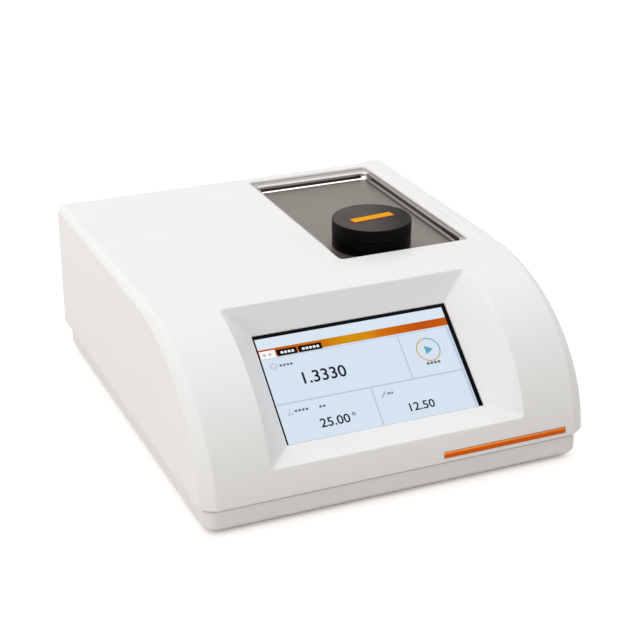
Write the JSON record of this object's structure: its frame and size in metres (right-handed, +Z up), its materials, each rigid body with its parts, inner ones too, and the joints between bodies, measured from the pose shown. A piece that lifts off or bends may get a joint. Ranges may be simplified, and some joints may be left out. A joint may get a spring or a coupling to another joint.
{
  "type": "digital refractometer",
  "caption": "Bench refractometer: moulded housing with a slanted touch screen, a recessed steel sample tray, a prism under a round lift-off lid, and a rear panel with inlet, switch and fan.",
  "frame": {"origin": "middle of the housing's outline, on the plane the feet stand on", "axes": "+Z up, +X to the user's right, -Y towards the user"},
  "size_m": [0.308, 0.365, 0.146],
  "materials": {
    "housing": "off-white moulded plastic, semi-gloss with a very fine grain",
    "steel": "polished stainless steel sheet",
    "chamber_black": "black moulded plastic, satin sides, fine-grained top",
    "seal_rubber": "black elastomer seal",
    "foot_rubber": "matt black rubber",
    "accent_orange": "glossy orange plastic",
    "label": "plain orange film",
    "screen_glass": "touch glass over a lit screen",
    "crystal": "clear optical crystal",
    "aluminium": "bare satin aluminium",
    "rear_plate": "powder-coated light grey sheet",
    "board": "green solder mask",
    "black_plastic": "black moulded plastic",
    "ceramic": "white unglazed ceramic",
    "connector_steel": "nickel-plated steel shell",
    "brass": "turned brass"
  },
  "bodies": {
    "housing": {"top_cover": "housing", "sample_tray": "steel", "chamber_ring": "chamber_black", "rear_panel": "rear_plate", "base_tray": "housing", "fan_frame": "black_plastic", "prism_mount": "steel", "display_bracket": "aluminium", "light_source": "black_plastic", "switch_body": "black_plastic", "power_inlet": "black_plastic", "optics_housing": "aluminium", "collimator_lens": "crystal", "focusing_lens": "crystal", "serial_port": "connector_steel", "chamber_seal": "seal_rubber", "foot_front_left": "foot_rubber", "foot_front_right": "foot_rubber", "foot_rear_left": "foot_rubber", "foot_rear_right": "foot_rubber", "main_board": "board", "touch_glass": "screen_glass", "heat_sink": "aluminium", "prism_seal": "seal_rubber", "display_board": "board", "optics_bracket": "aluminium", "usb_port_left": "connector_steel", "usb_port_right": "connector_steel", "power_supply": "aluminium", "standoff_1": "brass", "standoff_2": "brass", "standoff_3": "brass", "standoff_4": "brass", "display_panel": "aluminium", "accent_strip": "accent_orange", "prism": "crystal", "sensor_board": "board", "image_sensor": "black_plastic", "peltier_plate": "ceramic", "inlet_blade_left": "brass", "inlet_blade_right": "brass", "inlet_blade_earth": "brass"},
    "lid": {"chamber_lid": "chamber_black", "lid_label": "label"},
    "rocker": {"switch_rocker": "black_plastic"},
    "fan": {"fan_rotor": "black_plastic"},
    "fuse_holder": {"fuse_drawer": "black_plastic"}
  },
  "joints": [
    {"name": "lid_lift", "type": "slide", "parent": "housing", "child": "lid", "axis": [0, 0, 1], "range_m": [0, 0.06]},
    {"name": "rocker_tilt", "type": "hinge", "parent": "housing", "child": "rocker", "pos_m": [-0.058, 0.17045, 0.0705], "axis": [1, 0, 0], "range_deg": [0, 18]},
    {"name": "fan_spin", "type": "hinge", "parent": "housing", "child": "fan", "pos_m": [0.092, 0.165, 0.0745], "axis": [0, 1, 0], "continuous": true},
    {"name": "fuse_drawer_slide", "type": "slide", "parent": "housing", "child": "fuse_holder", "axis": [0, 1, 0], "range_m": [0, 0.013]}
  ]
}
